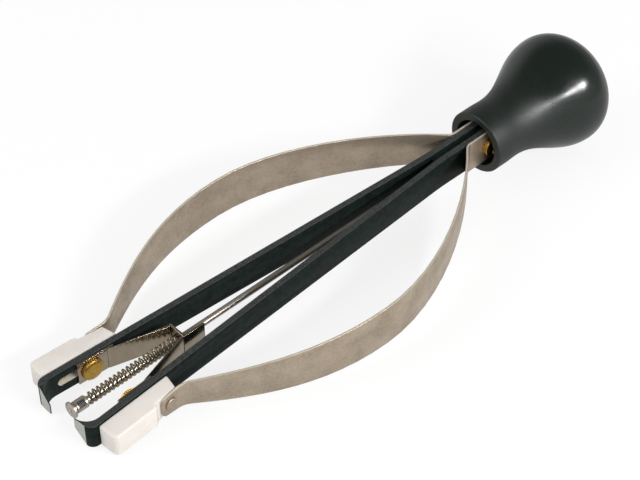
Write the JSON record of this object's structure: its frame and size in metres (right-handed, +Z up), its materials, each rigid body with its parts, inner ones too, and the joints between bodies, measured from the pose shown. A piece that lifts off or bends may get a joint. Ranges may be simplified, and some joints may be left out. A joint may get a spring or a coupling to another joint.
{
  "type": "watch hand remover",
  "caption": "Hand-held puller that lifts watch hands: two clawed spring legs, bows to squeeze, a sprung plunger and a palm knob.",
  "frame": {"origin": "centre of the knob's mouth face, on the tool's axis", "axes": "+X along the axis towards the end of the knob, so the claws point to -X; +Y towards leg A; +Z up, square to the flat sides of the legs' edges"},
  "size_m": [0.1272, 0.0442, 0.0222],
  "materials": {
    "black_plastic": "polished black moulded plastic",
    "black_steel": "satin black steel strip, ground bright at the claws",
    "nickel_strip": "warm nickel-plated spring strip",
    "white_nylon": "white moulded nylon",
    "brass": "turned and knurled brass",
    "plain_steel": "drawn steel rod with a turned collar and disc",
    "spring_wire": "nickel-plated spring wire"
  },
  "bodies": {
    "knob": {"knob": "black_plastic", "tang": "black_steel"},
    "leg_a": {"leg_a": "black_steel", "bow_a": "nickel_strip", "root_screw_a": "brass"},
    "leg_b": {"leg_b": "black_steel", "bow_b": "nickel_strip", "root_screw_b": "brass"},
    "shoe_a": {"shoe_a": "white_nylon", "shoe_screw_a": "brass", "bow_rivet_a": "nickel_strip", "yoke_pad_a": "nickel_strip"},
    "shoe_b": {"shoe_b": "white_nylon", "shoe_screw_b": "brass", "bow_rivet_b": "nickel_strip", "yoke_pad_b": "nickel_strip"},
    "yoke": {"yoke_bridge": "nickel_strip"},
    "arm_a": {"yoke_arm_a": "nickel_strip"},
    "arm_b": {"yoke_arm_b": "nickel_strip"},
    "plunger": {"plunger_rod": "plain_steel", "plunger_collar": "plain_steel", "plunger_disc": "plain_steel", "coil_spring": "spring_wire"}
  },
  "joints": [
    {"name": "leg_a_swing", "type": "hinge", "parent": "knob", "child": "leg_a", "pos_m": [-0.011, 0.00065, 0], "axis": [0, 0, 1], "range_deg": [0, 2], "stiffness_Nm_per_rad": 0.8},
    {"name": "leg_b_swing", "type": "hinge", "parent": "knob", "child": "leg_b", "pos_m": [-0.011, -0.00065, 0], "axis": [0, 0, 1], "range_deg": [-2, 0], "stiffness_Nm_per_rad": 0.8},
    {"name": "shoe_a_slide", "type": "slide", "parent": "leg_a", "child": "shoe_a", "axis": [-0.9979, 0.0645, 0], "range_m": [0, 0.004], "stiffness_N_per_m": 300, "deforming": ["bow_a"]},
    {"name": "shoe_b_slide", "type": "slide", "parent": "leg_b", "child": "shoe_b", "axis": [-0.9979, -0.0645, 0], "range_m": [0, 0.004], "stiffness_N_per_m": 300, "deforming": ["bow_b"]},
    {"name": "yoke_slide", "type": "slide", "parent": "knob", "child": "yoke", "axis": [-1, 0, 0], "range_m": [0, 0.004]},
    {"name": "arm_a_flex", "type": "hinge", "parent": "yoke", "child": "arm_a", "pos_m": [-0.07263, 0.00172, 0], "axis": [0, 0, 1], "range_deg": [0, 13.6]},
    {"name": "arm_b_flex", "type": "hinge", "parent": "yoke", "child": "arm_b", "pos_m": [-0.07263, -0.00172, 0], "axis": [0, 0, 1], "range_deg": [-13.6, 0]},
    {"name": "plunger_slide", "type": "slide", "parent": "knob", "child": "plunger", "axis": [1, 0, 0], "range_m": [0, 0.003], "stiffness_N_per_m": 200, "deforming": ["coil_spring"]}
  ],
  "couplings": [
    {"joint": "leg_b_swing", "follows": "leg_a_swing", "ratio": -1},
    {"joint": "arm_a_flex", "follows": "leg_a_swing", "ratio": 6.8},
    {"joint": "arm_b_flex", "follows": "leg_a_swing", "ratio": -6.8},
    {"joint": "shoe_b_slide", "follows": "shoe_a_slide", "ratio": 1},
    {"joint": "yoke_slide", "follows": "shoe_a_slide", "ratio": 1}
  ]
}
